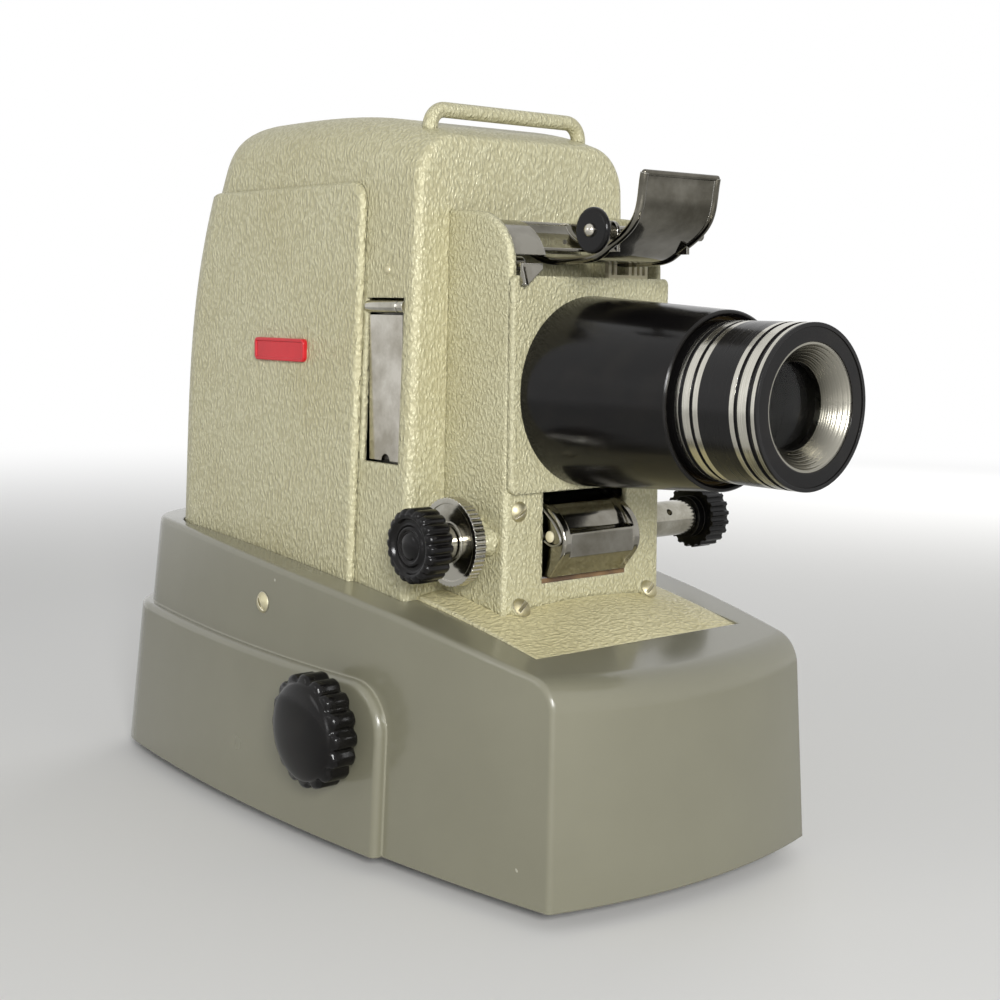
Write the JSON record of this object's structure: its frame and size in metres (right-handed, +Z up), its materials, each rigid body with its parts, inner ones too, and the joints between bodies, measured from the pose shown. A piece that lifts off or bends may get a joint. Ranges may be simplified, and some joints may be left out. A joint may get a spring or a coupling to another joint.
{
  "type": "filmstrip projector",
  "caption": "Filmstrip projector: enamelled base with tilt knob, hammered lamp house with lift-off cover, film head with chrome cradle, film advance knobs, and a sliding projection lens.",
  "frame": {"origin": "on the floor in the middle of the front foot, under the lens axis", "axes": "+Z up; the lens points to -Y; +X is to the right when seen from the front"},
  "size_m": [0.2175, 0.4461, 0.3397],
  "materials": {
    "enamel": "smooth gloss grey enamel",
    "hammertone": "hammered beige-green enamel",
    "black_phenolic": "polished black",
    "black_enamel": "gloss black",
    "chrome": "polished",
    "satin_steel": "satin",
    "aluminium": "machined bands",
    "polished_ring": "polished",
    "brass": "lacquered",
    "screw_metal": "dull nickel over brass",
    "rubber": "matt",
    "glass": "coated",
    "mirror": "polished",
    "red_paint": "gloss red",
    "felt": "brown felt",
    "cream_plastic": "cream",
    "ceramic": "white ceramic"
  },
  "bodies": {
    "projector": {"base_shell": "enamel", "base_side_screws": "screw_metal", "bottom_pan": "black_enamel", "rubber_feet": "rubber", "tilt_bracket": "satin_steel", "tilt_bush": "satin_steel", "lamp_house": "hammertone", "carry_handle": "hammertone", "front_deck": "hammertone", "film_head": "hammertone", "head_floor": "satin_steel", "head_screws": "screw_metal", "lens_plate": "hammertone", "lens_tube": "black_enamel", "barrel_guide": "brass", "film_cradle": "chrome", "gate_hood": "chrome", "film_guide_comb": "cream_plastic", "aperture_plate": "satin_steel", "cone_boss": "hammertone", "shoe_pin": "satin_steel", "window_seal": "felt", "tray_rails": "satin_steel", "slot_guide_bar": "chrome", "lamp_envelope": "glass", "lamp_base": "brass", "lamp_socket": "ceramic", "lamp_bracket": "satin_steel", "reflector": "mirror", "blower_motor": "satin_steel", "fan_scroll": "satin_steel", "power_inlet": "black_phenolic", "switch_body": "black_phenolic"},
    "tilt_shaft": {"tilt_pinion_shaft": "satin_steel", "tilt_knob": "black_phenolic"},
    "tilt_leg": {"tilt_leg": "satin_steel", "leg_foot": "rubber"},
    "lens": {"lens_barrel": "aluminium", "front_ring": "black_enamel", "cone_ring": "polished_ring", "lens_glass": "glass"},
    "advance": {"advance_shaft": "chrome", "left_knob": "black_phenolic", "right_knob": "black_phenolic", "right_collar": "chrome", "film_sprocket": "satin_steel"},
    "framing": {"framing_disc": "chrome"},
    "spindle": {"film_spindle": "chrome", "spindle_disc": "black_phenolic"},
    "latch": {"film_latch": "chrome"},
    "gate": {"pressure_plate": "satin_steel"},
    "shoe": {"sprocket_shoe": "chrome"},
    "tray": {"tray_frame": "satin_steel", "tray_end_plate": "chrome", "condenser_glass": "glass"},
    "cover": {"rear_cover": "hammertone", "cover_badge": "red_paint"},
    "blower": {"fan_wheel": "satin_steel"},
    "switch": {"switch_lever": "chrome"}
  },
  "joints": [
    {"name": "tilt_turn", "type": "hinge", "parent": "projector", "child": "tilt_shaft", "pos_m": [0, 0.0935, 0.061], "axis": [1, 0, 0], "range_deg": [0, 191]},
    {"name": "tilt_leg_slide", "type": "slide", "parent": "projector", "child": "tilt_leg", "axis": [0, 0, -1], "range_m": [0, 0.03]},
    {"name": "focus_slide", "type": "slide", "parent": "projector", "child": "lens", "axis": [0, -1, 0], "range_m": [-0.004, 0.024]},
    {"name": "film_advance", "type": "hinge", "parent": "projector", "child": "advance", "pos_m": [0, 0.052, 0.1466], "axis": [1, 0, 0], "continuous": true},
    {"name": "framing_turn", "type": "hinge", "parent": "projector", "child": "framing", "pos_m": [0, 0.052, 0.1466], "axis": [1, 0, 0], "range_deg": [-20, 20]},
    {"name": "spindle_turn", "type": "hinge", "parent": "projector", "child": "spindle", "pos_m": [0, -0.002, 0.2805], "axis": [1, 0, 0], "continuous": true},
    {"name": "latch_swing", "type": "hinge", "parent": "projector", "child": "latch", "pos_m": [0, 0.042, 0.2675], "axis": [-1, 0, 0], "range_deg": [0, 20]},
    {"name": "gate_open", "type": "slide", "parent": "projector", "child": "gate", "axis": [0, -1, 0], "range_m": [0, 0.00295]},
    {"name": "shoe_swing", "type": "hinge", "parent": "projector", "child": "shoe", "pos_m": [0, 0.046, 0.1625], "axis": [-1, 0, 0], "range_deg": [0, 25], "stiffness_Nm_per_rad": 0.02, "springref_deg": -34.38},
    {"name": "tray_pull", "type": "slide", "parent": "projector", "child": "tray", "axis": [-1, 0, 0], "range_m": [0, 0.09]},
    {"name": "cover_lift", "type": "slide", "parent": "projector", "child": "cover", "axis": [0, 0, 1], "range_m": [0, 0.2]},
    {"name": "blower_turn", "type": "hinge", "parent": "projector", "child": "blower", "pos_m": [0, 0.196, 0.062], "axis": [1, 0, 0], "continuous": true},
    {"name": "switch_rock", "type": "hinge", "parent": "projector", "child": "switch", "pos_m": [0.024, 0.33274, 0.06], "axis": [1, 0, 0], "range_deg": [-12, 12]}
  ],
  "couplings": [
    {"joint": "tilt_turn", "follows": "tilt_leg_slide", "rad_per_m": 111.11},
    {"joint": "latch_swing", "follows": "gate_open", "rad_per_m": 117.65}
  ]
}
